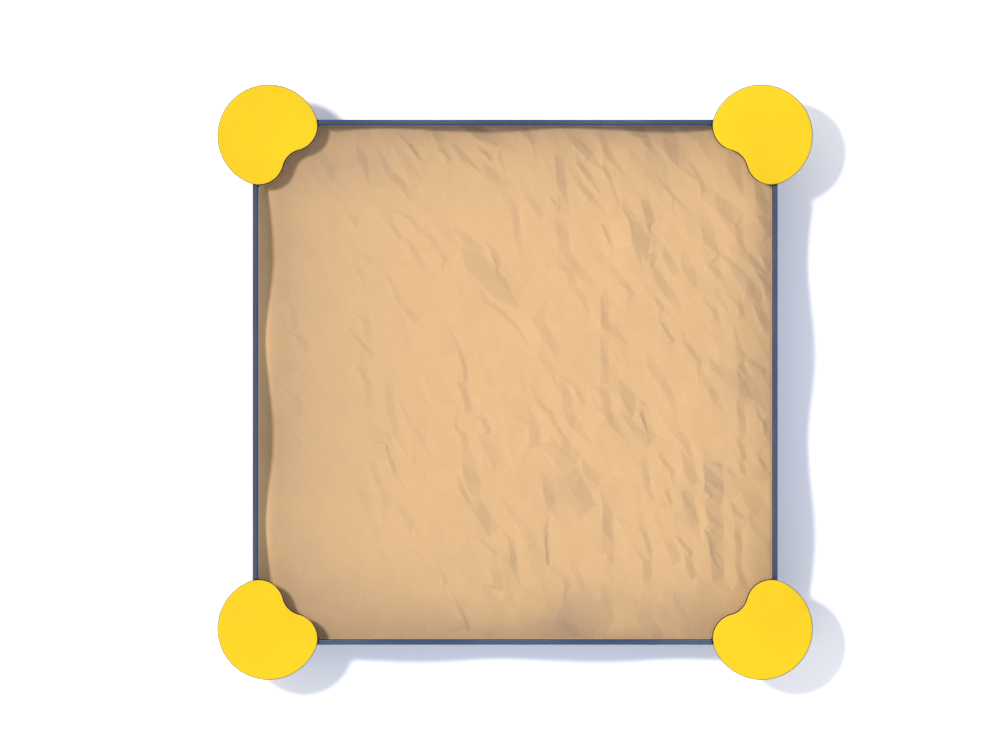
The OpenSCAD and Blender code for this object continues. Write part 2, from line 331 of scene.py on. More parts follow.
@dataclass(frozen=True)
class Steel:
    """Bare or zinc-coated steel."""

    name: str
    colour: Colour
    spangle: float = 0.0
    roughness: float = 0.34

    def material(self) -> bpy.types.Material:
        """Builds the finish: zinc spangle where there is any, fine brushing and smudges."""
        g = Graph(self.name)
        smudge = g.noise(22.0, 6.0)
        colour = g.mix(g.span(smudge, 0.35, 0.65), scaled(self.colour, 0.8), self.colour)
        rough = g.span(smudge, 0.3, 0.7, self.roughness - 0.06, self.roughness + 0.12)
        if self.spangle:
            flakes = g.cells(self.spangle).outputs["Color"]
            grey = g.add("RGBToBW", {0: flakes}).outputs[0]
            colour = g.mix(g.span(grey, 0.2, 0.8, 0.0, 0.35), colour, scaled(self.colour, 1.25))
            rough = g.maths("ADD", rough, g.span(grey, 0.2, 0.8, -0.05, 0.08))
        g.shade(Base_Color=colour, Roughness=rough)
        g.shader.inputs["Metallic"].default_value = 1.0
        g.bump((g.noise(420.0, 2.0, g.place((1.0, 1.0, 0.05))), 0.00004), (g.noise(40.0, 3.0), 0.0001))
        return g.material


@dataclass(frozen=True)
class PlaySand:
    """Washed play sand."""

    name: str = "play_sand"
    light: Colour = (0.62, 0.43, 0.235)
    dark: Colour = (0.36, 0.235, 0.12)
    quartz: Colour = (0.78, 0.66, 0.48)

    def material(self) -> bpy.types.Material:
        """Builds the finish: single grains, clumps and damp patches."""
        g = Graph(self.name)
        grains = g.cells(620.0)
        tone = g.add("RGBToBW", {0: grains.outputs["Color"]}).outputs[0]
        colour = g.mix(g.span(tone, 0.15, 0.85), self.dark, self.light)
        colour = g.mix(g.span(g.noise(4.0, 5.0), 0.35, 0.7, 0.0, 0.45), colour, self.light)
        pale = g.span(g.noise(900.0, 1.0), 0.68, 0.72)
        colour = g.mix(g.maths("MULTIPLY", pale, 0.7), colour, self.quartz)
        g.shade(Base_Color=colour)
        g.shader.inputs["Roughness"].default_value = 0.95
        g.bump((g.noise(60.0, 5.0), 0.0025), (grains.outputs["Distance"], 0.0009))
        return g.material


@dataclass(frozen=True)
class CoverFabric:
    """Coated tan fabric with a fine plain weave."""

    name: str = "cover_fabric"
    tan: Colour = (0.475, 0.288, 0.130)
    pale: Colour = (0.52, 0.33, 0.158)
    # Painted shade: the darker tone that shaded places are painted towards.
    painted_shading: Colour = (0.243, 0.163, 0.102)
    # Painted light: the paler tone that places are lifted to where light is painted.
    painted_light_tan: Colour = (0.66, 0.43, 0.21)
    thread: float = 1.4 * MM

    def material(self) -> bpy.types.Material:
        """Builds the finish: weave, uneven dye, paler worn crests, painted shade in the crease valleys, and
        painted shade and painted light from the amounts stored on the mesh.
        """
        g = Graph(self.name)
        bands = 2 * math.pi / 20 / self.thread  # at a scale of 1, a band is 2 pi / 20 wide
        warp, weft = (
            g.add("TexWave", {"Vector": g.place(), "Scale": bands, "Distortion": 0.15}, bands_direction=way)
            .outputs["Fac"]
            for way in ("X", "Y")
        )
        weave = g.maths("MAXIMUM", warp, weft)
        tone = g.span(g.noise(2.2, 5.0), 0.3, 0.7)
        colour = g.mix(tone, scaled(self.tan, 0.985), scaled(self.tan, 1.015))
        yarn = g.span(g.noise(260.0, 2.0), 0.3, 0.7, 0.0, 0.3)
        colour = g.mix(yarn, colour, scaled(self.tan, 0.9))
        colour = g.mix(g.span(weave, 0.2, 0.9, 0.16, 0.0), colour, scaled(self.tan, 0.72))
        crest = g.span(g.attribute("crease"), 0.25, 1.0, 0.0, 0.30)
        colour = g.mix(crest, colour, self.pale)
        # Painted shade: the tan is darkened in the crease valleys.
        painted_valley_shade = g.span(g.attribute("crease"), -1.0, -0.2, 0.22, 0.0)
        colour = g.mix(painted_valley_shade, colour, scaled(self.tan, 0.8))
        cloud = g.span(g.noise(9.0, 5.0), 0.2, 0.8, 0.8, 1.2)
        # Painted shade: darker towards the shade tone where the stored amount is above zero, unevenly by
        # the cloud noise.
        colour = g.mix(g.maths("MULTIPLY", g.attribute("painted_light_and_shade"), cloud), colour, self.painted_shading)
        # Painted light: paler towards the light tone where the stored amount is below zero.
        colour = g.mix(g.span(g.attribute("painted_light_and_shade"), -0.7, 0.0, 1.0, 0.0), colour, self.painted_light_tan)
        g.shade(Base_Color=colour, Roughness=g.span(g.noise(60.0), 0.3, 0.7, 0.72, 0.84))
        g.shader.inputs["Sheen Weight"].default_value = 0.1
        g.shader.inputs["Sheen Roughness"].default_value = 0.5
        g.bump((g.noise(16.0, 5.0), 0.0010), (g.noise(120.0, 3.0), 0.0003), (weave, 0.00014))
        return g.material


@dataclass(frozen=True)
class GroundFelt:
    """Needled black ground cloth."""

    name: str = "ground_felt"
    black: Colour = (0.03, 0.03, 0.033)

    def material(self) -> bpy.types.Material:
        """Builds the finish: matted fibres with a few pale ones."""
        g = Graph(self.name)
        fibres = g.noise(260.0, 8.0, g.place((1.0, 0.25, 1.0), 0.7))
        colour = g.mix(g.span(fibres, 0.5, 0.75), self.black, scaled(self.black, 3.2))
        g.shade(Base_Color=colour)
        g.shader.inputs["Roughness"].default_value = 0.95
        g.bump((fibres, 0.0008))
        return g.material


@dataclass(frozen=True)
class StudioFloor:
    """Plain pale floor."""

    name: str = "studio_floor"
    white: Colour = (0.93, 0.93, 0.93)

    def material(self) -> bpy.types.Material:
        """Builds the finish."""
        g = Graph(self.name)
        g.shade(Base_Color=(*self.white, 1.0))
        g.shader.inputs["Roughness"].default_value = 0.9
        g.shader.inputs["Specular IOR Level"].default_value = 0.1
        return g.material


# ---------------------------------------------------------------- the boards


@dataclass
class RoundedBoard:
    """A flat board cut to an outline, with both edges rounded all the way round."""

    outline: list[Point]
    thickness: float
    edge_r: float
    edge_steps: int = 6
    rim: float = 1.2 * MM

    def insets(self) -> list[Point]:
        """How far each ring of the edge lies inside the outline, and its depth in the board."""
        turn = [math.radians(90 * i / self.edge_steps) for i in range(self.edge_steps + 1)]
        low = [(self.edge_r * (1 - math.sin(a)), self.edge_r * (1 - math.cos(a))) for a in turn]
        high = [(inset, self.thickness - depth) for inset, depth in reversed(low)]
        rim, middle = self.edge_r + self.rim, self.thickness / 2
        return [(rim, 0.0), *low, (0.0, middle), *high, (rim, self.thickness)]

    def mitres(self) -> np.ndarray:
        """For each corner of the outline, the step inwards that moves both its sides by one."""
        p = np.array(self.outline)
        ahead = np.roll(p, -1, axis=0) - p
        ahead /= np.linalg.norm(ahead, axis=1)[:, None]
        inward = np.stack([-ahead[:, 1], ahead[:, 0]], axis=1)
        before = np.roll(inward, 1, axis=0)
        return (before + inward) / (1 + (before * inward).sum(axis=1))[:, None]

    def build(self, name: str) -> bpy.types.Object:
        """Makes the mesh, flat in XY with its thickness along +Z, and stores each point's depth."""
        p, mitre, rings = np.array(self.outline), self.mitres(), self.insets()
        count = len(p)
        verts = [np.column_stack([p + mitre * inset, np.full(count, z)]) for inset, z in rings]
        obj = new_object(name, np.concatenate(verts), tube_faces(len(rings), count))
        depth = np.repeat([min(z, self.thickness - z) for _, z in rings], count)
        set_attribute(obj, "board_depth", depth)
        return obj


@dataclass
class SeatShape:
    """The kidney outline of a corner seat, from the box's outer corner inwards."""

    inset: float = 57.5 * MM
    lobe_out: float = 34.3 * MM
    lobe_along: float = 94.8 * MM
    lobe_r: float = 96.0 * MM
    notch_reach: float = 113.5 * MM
    outer_reach: float = 189.7 * MM

    def outline(self, grow: float = 0.0) -> list[Point]:
        """Four tangent arcs: the outer round, a lobe, the notch and the other lobe.

        Args:
            grow: how far the outline is moved outwards.

        Returns:
            The outline's points, anticlockwise.
        """
        square = self.lobe_out**2 + self.lobe_along**2
        slant = math.sqrt(2) * (self.lobe_along - self.lobe_out)
        notch_in, outer_in = self.notch_reach - self.lobe_r, self.outer_reach - self.lobe_r
        notch_d = (square - notch_in**2) / (slant - 2 * notch_in)
        outer_d = (square - outer_in**2) / (slant + 2 * outer_in)
        notch_c, outer_c = notch_d / math.sqrt(2), outer_d / math.sqrt(2)
        notch_r, outer_r = notch_d - self.notch_reach, outer_d + self.outer_reach
        to_outer = math.degrees(math.atan2(self.lobe_along - outer_c, -self.lobe_out - outer_c))
        to_notch = math.degrees(math.atan2(notch_c - self.lobe_along, notch_c + self.lobe_out))
        near, far = self.inset - self.lobe_out, self.inset + self.lobe_along
        outer, notch = self.inset + outer_c, self.inset + notch_c
        parts = [
            arc((outer, outer), outer_r + grow, to_outer, 450 - to_outer),
            arc((far, near), self.lobe_r + grow, 90 - to_outer, 90 - to_notch),
            arc((notch, notch), notch_r - grow, 270 - to_notch, 180 + to_notch),
            arc((near, far), self.lobe_r + grow, to_notch, to_outer),
        ]
        return [point for part in parts for point in part[:-1]]


@dataclass
class CornerSeats:
    """The four seat boards."""

    shape: SeatShape
    finish: LayeredBoard
    edge_r: float = 5.5 * MM

    def build(self) -> None:
        """Makes each seat over its CAD node."""
        material = self.finish.material()
        half = -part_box("panel_south")[0].y
        for corner in Corner:
            node = "seat_" + corner.name.lower()
            low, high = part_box(node)
            board = RoundedBoard(self.shape.outline(), high.z - low.z, self.edge_r)
            seat = board.build(node + "_board")
            seat.data.transform(quarter_turns(corner.value) @ Matrix.Translation((-half, -half, low.z)))
            seat.data.materials.append(material)
            fit(seat, node)


@dataclass
class WallBoards:
    """The four wavy wall boards."""

    shape: SeatShape
    finish: LayeredBoard
    wave_rise: float = 31.0 * MM
    wave_length: float = 693.0 * MM
    seat_gap: float = 3.0 * MM
    edge_r: float = 3.0 * MM
    step: float = 9.0 * MM
    sunk_r: float = 8.15 * MM
    bolt_r: float = 4.0 * MM
    bore_l: float = 30.0 * MM

    def outline(self) -> list[Point]:
        """The south board's face: a straight foot, a low step under each seat and the wave between."""
        low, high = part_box("panel_south")
        half, end = -low.x, high.x
        mean = high.z - self.wave_rise
        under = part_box("seat_southwest")[0].z
        reach = self.shape.inset + self.shape.lobe_along + self.shape.lobe_r + self.seat_gap
        start = half - reach
        count = math.ceil(2 * start / self.step)
        along = [start * (1 - 2 * i / count) for i in range(count + 1)]
        wave = [(s, mean + self.wave_rise * math.sin(2 * math.pi * s / self.wave_length)) for s in along]
        ends = [(-half, 0.0), (end, 0.0), (end, under), (start, under)]
        return [*ends, *wave, (-start, under), (-half, under)]

    def sink(self, board: bpy.types.Object, heights: list[float]) -> None:
        """Cuts the cones for the countersunk bolts in the middle of the board's outer face."""
        depth = self.sunk_r - self.bolt_r
        cone = Lathe(turned((self.bolt_r, -self.bore_l), (self.bolt_r, -depth), (self.sunk_r, 0.0),
                            (self.sunk_r + MM, MM)))
        places = [axis_out_of_wall(0.0, z) for z in heights]
        tool = new_object("sunk_cones", *cone.mesh_at(places), smooth=False)
        cut = board.modifiers.new("cones", "BOOLEAN")
        cut.object, cut.operation, cut.solver = tool, "DIFFERENCE", "EXACT"
        bpy.context.view_layer.update()
        made = bpy.data.meshes.new_from_object(board.evaluated_get(bpy.context.evaluated_depsgraph_get()))
        board.modifiers.clear()
        board.data = made
        bpy.data.objects.remove(tool)
        ease_shading(board)

    def build(self) -> None:
        """Makes each board over its CAD node."""
        material = self.finish.material()
        low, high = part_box("panel_south")
        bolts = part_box("middle_bolts")
        heights = [bolts[0].z + self.sunk_r, bolts[1].z - self.sunk_r]
        upright = Matrix.Translation((0, high.y, 0)) @ Matrix.Rotation(math.radians(90), 4, "X")
        for side in Side:
            node = "panel_" + side.name.lower()
            board = RoundedBoard(self.outline(), high.y - low.y, self.edge_r).build(node + "_board")
            board.data.transform(upright)
            self.sink(board, heights)
            board.data.transform(quarter_turns(side.value))
            board.data.materials.clear()
            board.data.materials.append(material)
            fit(board, node)


# ---------------------------------------------------------------- the fittings


def axis_out_of_wall(along: float, z: float) -> Matrix:
    """The place on the south wall's outer face whose +Z points out of the wall."""
    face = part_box("panel_south")[0].y
    return Matrix.Translation((along, face, z)) @ Matrix.Rotation(math.radians(90), 4, "X")


def turned(*rings: Point) -> list[tuple[Outline, float, float]]:
    """Round rings for a lathe, each from its radius and its height."""
    return [(Outline.ROUND, radius, z) for radius, z in rings]


@dataclass
class Lathe:
    """A turned or six-sided solid: rings of one outline, radius and height, capped at both ends."""

    rings: list[tuple[Outline, float, float]]
    sides: int = 48

    def ring(self, outline: Outline, radius: float, z: float) -> np.ndarray:
        """One ring's points. A six-sided ring's radius is half its width across flats."""
        turn = np.arange(self.sides) * 2 * math.pi / self.sides
        if outline is Outline.HEX:
            radius = radius / np.cos((turn + math.pi / 6) % (math.pi / 3) - math.pi / 6)
        return np.column_stack([radius * np.cos(turn), radius * np.sin(turn), np.full(self.sides, z)])

    def mesh_at(self, places: list[Matrix]) -> tuple[np.ndarray, list]:
        """The solid's points and faces, once for each place."""
        one = np.concatenate([self.ring(*r) for r in self.rings])
        verts, faces = [], []
        for copy, place in enumerate(places):
            verts.append(one @ np.array(place.to_3x3()).T + np.array(place.translation))
            faces += tube_faces(len(self.rings), self.sides, copy * len(one))
        return np.concatenate(verts), faces


@dataclass
class WallFasteners:
    """The domed corner bolts and the flush middle bolts, built over their CAD nodes."""

    finish: Steel
    bolt_r: float = 4.0 * MM
    bolt_l: float = 36.0 * MM
    dome_r: float = 10.0 * MM
    dome_h: float = 5.0 * MM
    sunk_r: float = 8.0 * MM
    key_r: float = 2.4 * MM
    key_depth: float = 3.0 * MM
    rim: float = 0.1 * MM
    end_r: float = 3.4 * MM
    end_ease: float = 0.8 * MM
    dome_foot_r: float = 9.9 * MM
    dome_top_r: float = 0.3 * MM
    dome_steps: int = 12
    corner_inset: float = 60.0 * MM

    def shank(self, head_z: float) -> list[tuple[Outline, float, float]]:
        """The bolt's plain shank, with its end eased, up to where the head begins."""
        end = -self.bolt_l
        return turned((self.end_r, end), (self.bolt_r, end + self.end_ease), (self.bolt_r, head_z))

    def domed(self) -> Lathe:
        """A bolt with a low domed head, with its edge eased."""
        ball = (self.dome_r**2 + self.dome_h**2) / (2 * self.dome_h)
        full = math.asin(self.dome_r / ball)
        turns = [full * (1 - i / self.dome_steps) for i in range(self.dome_steps)]
        dome = [(ball * math.sin(a), self.dome_h - ball * (1 - math.cos(a))) for a in turns]
        dome[0] = (dome[0][0], dome[0][1] + self.rim)
        head = turned((self.dome_foot_r, 0.0), *dome, (self.dome_top_r, self.dome_h))
        return Lathe([*self.shank(0.0), *head])

    def flush(self) -> Lathe:
        """A bolt with a flat cone head and a six-sided key recess."""
        low_rim, mouth = -2 * self.rim, -0.5 * self.rim
        cone = turned((self.sunk_r - 2 * self.rim, low_rim), (self.sunk_r - 4 * self.rim, mouth))
        key_rim = self.key_r + 2 * self.rim
        key = [(key_rim, mouth), (self.key_r, mouth - 2 * self.rim), (self.key_r, -self.key_depth)]
        recess = [(Outline.HEX, radius, z) for radius, z in key]
        floor = turned((0.5 * self.key_r, -self.key_depth))
        return Lathe([*self.shank(self.bolt_r - self.sunk_r), *cone, *recess, *floor])

    def build(self) -> None:
        """Makes both sets of bolts."""
        half = -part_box("panel_south")[0].y
        far = half - self.corner_inset
        material = self.finish.material()
        sets = [("corner_bolts", self.domed(), [-far, far], self.dome_r),
                ("middle_bolts", self.flush(), [0.0], self.sunk_r)]
        for node, lathe, along, reach in sets:
            low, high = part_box(node)
            heights = (low.z + reach, high.z - reach)
            places = [quarter_turns(side.value) @ axis_out_of_wall(s, z)
                      for side in Side for s in along for z in heights]
            bolts = new_object(node + "_set", *lathe.mesh_at(places))
            ease_shading(bolts)
            bolts.data.materials.append(material)
            fit(bolts, node)


def ease_shading(obj: bpy.types.Object, angle: float = 32.0) -> None:
    """Marks edges sharper than an angle in degrees as sharp, so that smooth faces meet crisply there."""
    mesh = obj.data
    normals = np.zeros(len(mesh.polygons) * 3, np.float32)
    mesh.polygons.foreach_get("normal", normals)
    normals = normals.reshape(-1, 3)
    met: dict[tuple[int, int], int] = {}
    limit, sharp = math.cos(math.radians(angle)), set()
    for polygon in mesh.polygons:
        for key in polygon.edge_keys:
            if key in met and float(normals[met[key]] @ normals[polygon.index]) < limit:
                sharp.add(key)
            met.setdefault(key, polygon.index)
    for edge in mesh.edges:
        edge.use_edge_sharp = tuple(sorted(edge.vertices)) in sharp


@dataclass
class HiddenSteel:
    """The brackets, washers, nuts, screws and inserts, which keep their CAD shapes."""

    galvanised: Steel
    bright: Steel
    brass: Steel
    edge: float = 0.5 * MM

    def build(self) -> None:
        """Gives each CAD node its finish, and eases the brackets' edges."""
        finishes = {"bracket": self.galvanised.material(), "washers": self.bright.material()}
        finishes["lock_nuts"] = finishes["seat_screws"] = finishes["washers"]
        finishes["seat_inserts"] = self.brass.material()
        for name, node in sorted(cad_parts.items()):
            key = "bracket" if "bracket" in name else name
            if key not in finishes:
                continue
            node.data.materials.clear()
            node.data.materials.append(finishes[key])
            weld = node.modifiers.new("weld", "WELD")
            weld.merge_threshold = 0.01 * MM
            if key == "bracket":
                bevel = node.modifiers.new("bevel", "BEVEL")
                bevel.width, bevel.segments, bevel.limit_method = self.edge, 2, "ANGLE"
                bevel.angle_limit = math.radians(40)
            LOG.info("steel %s", name)


# ---------------------------------------------------------------- sand and ground cloth


@dataclass
class SandFilling:
    """The levelled sand: a closed block with a raked, gently uneven top."""

    finish: PlaySand
    cells: int = 196
    sink: float = 5.0 * MM
    swell: float = 3.2 * MM
    ripple: float = 0.9 * MM
    rim_angle: float = 50.0

    def height(self, x: float, y: float) -> float:
        """How far the top lies below the block's highest level at a place."""
        broad = noise_at(x, y, scale=1.6, layer=3.1)
        small = noise_at(x, y, scale=9.0, layer=7.7)
        fine = noise_at(x, y, scale=34.0, layer=1.3)
        return self.swell * (0.5 - 0.5 * broad) + self.ripple * (1 - 0.6 * small - 0.4 * fine)

    def build(self) -> None:
        """Makes the block over its CAD node."""
        low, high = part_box("sand_bed")
        n = self.cells
        xs = np.linspace(low.x, high.x, n + 1)
        verts = [(x, y, high.z - self.sink - self.height(x, y)) for y in xs for x in xs]
        order = np.arange(len(verts)).reshape(n + 1, n + 1)
        rim = np.concatenate([order[0, :-1], order[:-1, -1], order[-1, :0:-1], order[:0:-1, 0]]).tolist()
        base, count = len(verts), len(rim)
        verts += [(*verts[i][:2], low.z) for i in rim]
        faces = cell_faces(np.ones((n, n), bool)).tolist()
        faces += [[rim[k], base + k, base + (k + 1) % count, rim[(k + 1) % count]] for k in range(count)]
        faces.append([base + k for k in range(count - 1, -1, -1)])
        sand = new_object("sand_filling", np.array(verts), faces)
        ease_shading(sand, self.rim_angle)
        sand.data.materials.append(self.finish.material())
        fit(sand, "sand_bed")


@dataclass
class GroundCloth:
    """The black cloth under the sand, cut round the bracket feet."""

    finish: GroundFelt
    cells: int = 98
    thickness: float = 1.6 * MM

    def build(self) -> None:
        """Makes the sheet over its CAD node, leaving out the cells that the feet stand in."""
        low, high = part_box("ground_cloth")
        xs = np.linspace(low.x, high.x, self.cells + 1)
        half_cell = (xs[1] - xs[0]) / 2
        x, y = np.meshgrid(xs[:-1] + half_cell, xs[:-1] + half_cell)
        keep = np.ones(x.shape, bool)
        for a, b in (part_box(name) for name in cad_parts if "bracket" in name):
            beside = (a.x - half_cell < x) & (x < b.x + half_cell)
            keep &= ~(beside & (a.y - half_cell < y) & (y < b.y + half_cell))
        verts, faces, _ = cut_grid(xs, np.full((len(xs), len(xs)), high.z), keep)
        cloth = new_object("ground_cloth_sheet", verts, faces.tolist())
        solid = cloth.modifiers.new("thickness", "SOLIDIFY")
        solid.thickness, solid.offset = self.thickness, -1.0
        cloth.data.materials.append(self.finish.material())
        fit(cloth, "ground_cloth")


# ---------------------------------------------------------------- the cover


@dataclass
class Crease:
    """One fold: a sharp ridge along some points with a steep face on its left. Millimetres."""

    ridge: list[Point]
    steep: float
    drop: float
    margin: float = 12.0
    rise_share: float = 0.42

    def point(self, piece: int, along: float, across: float) -> Point:
        """A place beside one straight piece of the ridge, in metres.

        Args:
            piece: which straight piece.
            along: share of the piece's length.
            across: how far to its left, in millimetres.

        Returns:
            The place.
        """
        (sx, sy), (ex, ey) = self.ridge[piece : piece + 2]
        length = math.hypot(ex - sx, ey - sy)
        ux, uy = (ex - sx) / length, (ey - sy) / length
        return (MM * (sx + (ex - sx) * along - uy * across), MM * (sy + (ey - sy) * along + ux * across))

    def net(self) -> tuple[list[tuple[float, float, float]], list[tuple[int, int]]]:
        """The fold's own points, each with its height, and the lines along the ridge and the foot."""
        rise, pieces = self.rise_share * self.drop * MM, len(self.ridge) - 1
        if pieces == 1:
            crest, feet = [(0, 0.20), (0, 0.78)], [(0, 0.24), (0, 0.90)]
        else:
            crest = [(piece, 0.0) for piece in range(1, pieces)]
            feet = [(0, 0.3), *((piece, 0.15) for piece in range(1, pieces)), (pieces - 1, 0.85)]
        points = [(*self.point(0, 0.0, 0.0), 0.0)]
        points += [(*self.point(*at, 0.0), rise) for at in crest]
        points += [(*self.point(pieces - 1, 1.0, 0.0), 0.0)]
        last = len(points) - 1
        points += [(*self.point(*at, self.steep), -rise) for at in feet]
        lines = [(i, i + 1) for i in range(last)] + [(i, i + 1) for i in range(last + 1, len(points) - 1)]
        return points, [*lines, (0, last + 1), (len(points) - 1, last)]

    def covers(self, x: np.ndarray, y: np.ndarray) -> np.ndarray:
        """Whether each place lies on the fold or close beside it."""
        edge, inside = self.margin * MM, np.zeros(x.shape, bool)
        for piece in range(len(self.ridge) - 1):
            (ox, oy), (ex, ey) = self.point(piece, 0.0, 0.0), self.point(piece, 1.0, 0.0)
            length = math.hypot(ex - ox, ey - oy)
            ux, uy = (ex - ox) / length, (ey - oy) / length
            along, across = (x - ox) * ux + (y - oy) * uy, (y - oy) * ux - (x - ox) * uy
            beside = (across > -edge) & (across < self.steep * MM + edge)
            inside |= (along > -edge) & (along < length + edge) & beside
        return inside


def creases_of(*rows: tuple) -> list[Crease]:
    """Creases from rows, each of a ridge's points, how far its foot lies from it, and its drop."""
    return [Crease(list(ridge), steep, drop) for *ridge, steep, drop in rows]


@dataclass
class ShadingPatch:
    """One patch of painted shade, or of painted light where its strength is below zero: its centre, its
    radii and its strength. Millimetres.
    """

    centre: Point
    radii: Point
    strength: float
    turn: float = 0.0

    def cover(self, x: np.ndarray, y: np.ndarray) -> np.ndarray:
        """How much painted shade or light the patch lays at each place."""
        a = math.radians(self.turn)
        east, north = x / MM - self.centre[0], y / MM - self.centre[1]
        u = (east * math.cos(a) + north * math.sin(a)) / self.radii[0]
        v = (north * math.cos(a) - east * math.sin(a)) / self.radii[1]
        return self.strength * np.exp(-(u * u + v * v))


@dataclass
class FacetNet:
    """Flat facets between the points of a net, which runs along the creases and is loose between them."""

    creases: list[Crease]
    length: float
    width: float
    rough: float
    seed: int
    heading: float = 120.0
    scatter: float = 0.36
    east_calm: float = 0.30
    least_area: float = 1e-10
    slack: float = 1e-9

    def axes(self) -> Point:
        """The cosine and sine of the heading, which the facets' long sides follow."""
        return math.cos(math.radians(self.heading)), math.sin(math.radians(self.heading))

    def own_points(self) -> tuple[np.ndarray, list[tuple[int, int]]]:
        """The creases' points, each with its height, and the lines that facets may not cross."""
        points, lines = [], []
        for crease in self.creases:
            own, links = crease.net()
            lines += [(len(points) + i, len(points) + j) for i, j in links]
            points += own
        return np.array(points).reshape(-1, 3), lines

    def loose_points(self, half: float) -> np.ndarray:
        """The points between the creases, each with its height, out to half from the middle."""
        rng = np.random.default_rng(self.seed)
        reach = 1.5 * half
        u, v = np.meshgrid(np.arange(-reach, reach, self.length), np.arange(-reach, reach, self.width))
        u = u + (np.arange(u.shape[0]) % 2)[:, None] * 0.5 * self.length
        u = u + rng.uniform(-self.scatter, self.scatter, u.shape) * self.length
        v = v + rng.uniform(-self.scatter, self.scatter, v.shape) * self.width
        c, s = self.axes()
        x, y, lift = u * c - v * s, u * s + v * c, rng.normal(0.0, self.rough, u.shape)
        free = np.maximum(np.abs(x), np.abs(y)) < half + 0.5 * self.length
        for crease in self.creases:
            free &= ~crease.covers(x, y)
        return np.column_stack([x[free], y[free], lift[free]])

    def triangulate(self, points: np.ndarray, lines: list) -> tuple[np.ndarray, np.ndarray, list]:
        """Joins the points by long narrow facets that follow the heading.

        Args:
            points: an array of x, y and height.
            lines: pairs of indices into it that facets may not cross.

        Returns:
            The corners' places, their heights, and three indices into both for each facet.
        """
        c, s = self.axes()
        squeeze = np.array([[c * self.width / self.length, -s], [s * self.width / self.length, c]])
        flat = [Vector(pair) for pair in points[:, :2] @ squeeze]
        where, links, triangles, kept, _, _ = delaunay_2d_cdt(flat, lines, [], 0, 1e-6)
        lifts = np.array([points[ids, 2].mean() if ids else np.nan for ids in kept])
        for crossing in np.flatnonzero(np.isnan(lifts)):
            beside = [a + b - crossing for a, b in links if crossing in (a, b)]
            lifts[crossing] = np.nanmean(lifts[beside])
        return np.array([tuple(v) for v in where]) @ np.linalg.inv(squeeze), lifts, triangles

    def rasterise(self, xs: np.ndarray, busy: np.ndarray) -> tuple[np.ndarray, np.ndarray]:
        """Spreads the facets over the square grid whose lines lie at xs both ways.

        Args:
            xs: the grid's lines.
            busy: how strongly the loose points stand out, on the same grid.

        Returns:
            The facets' heights, and the middle (x, y) of the facet that each place lies on.
        """
        own, lines = self.own_points()
        loose = self.loose_points(xs[-1])
        loose[:, 2] *= sample(xs, busy, loose[:, :2])
        points = np.concatenate([own, loose])
        points[:, 2] *= 1.0 - self.east_calm * smoothstep(0.45, 0.90, points[:, 0])
        corners, lifts, triangles = self.triangulate(points, lines)
        step, shape = xs[1] - xs[0], (len(xs), len(xs))
        out, middles = np.zeros(shape), np.zeros((2, *shape))
        for triangle in triangles:
            (ax, ay), (bx, by), (cx, cy) = corners[list(triangle)]
            low = np.ceil((np.array([min(ax, bx, cx), min(ay, by, cy)]) - xs[0]) / step).astype(int)
            high = np.floor((np.array([max(ax, bx, cx), max(ay, by, cy)]) - xs[0]) / step).astype(int) + 1
            (i0, j0), (i1, j1) = np.maximum(low, 0), np.minimum(high, len(xs))
            area = (bx - ax) * (cy - ay) - (cx - ax) * (by - ay)
            if i1 <= i0 or j1 <= j0 or abs(area) < self.least_area:
                continue
            here = (slice(j0, j1), slice(i0, i1))
            gx, gy = xs[i0:i1][None, :] - ax, xs[j0:j1][:, None] - ay
            b = (gx * (cy - ay) - (cx - ax) * gy) / area
            c = ((bx - ax) * gy - gx * (by - ay)) / area
            inside = (b >= -self.slack) & (c >= -self.slack) & (b + c <= 1 + self.slack)
            za, zb, zc = lifts[list(triangle)]
            out[here][inside] = (za + b * (zb - za) + c * (zc - za))[inside]
            middles[0][here][inside] = (ax + bx + cx) / 3
            middles[1][here][inside] = (ay + by + cy) / 3
        return out, middles


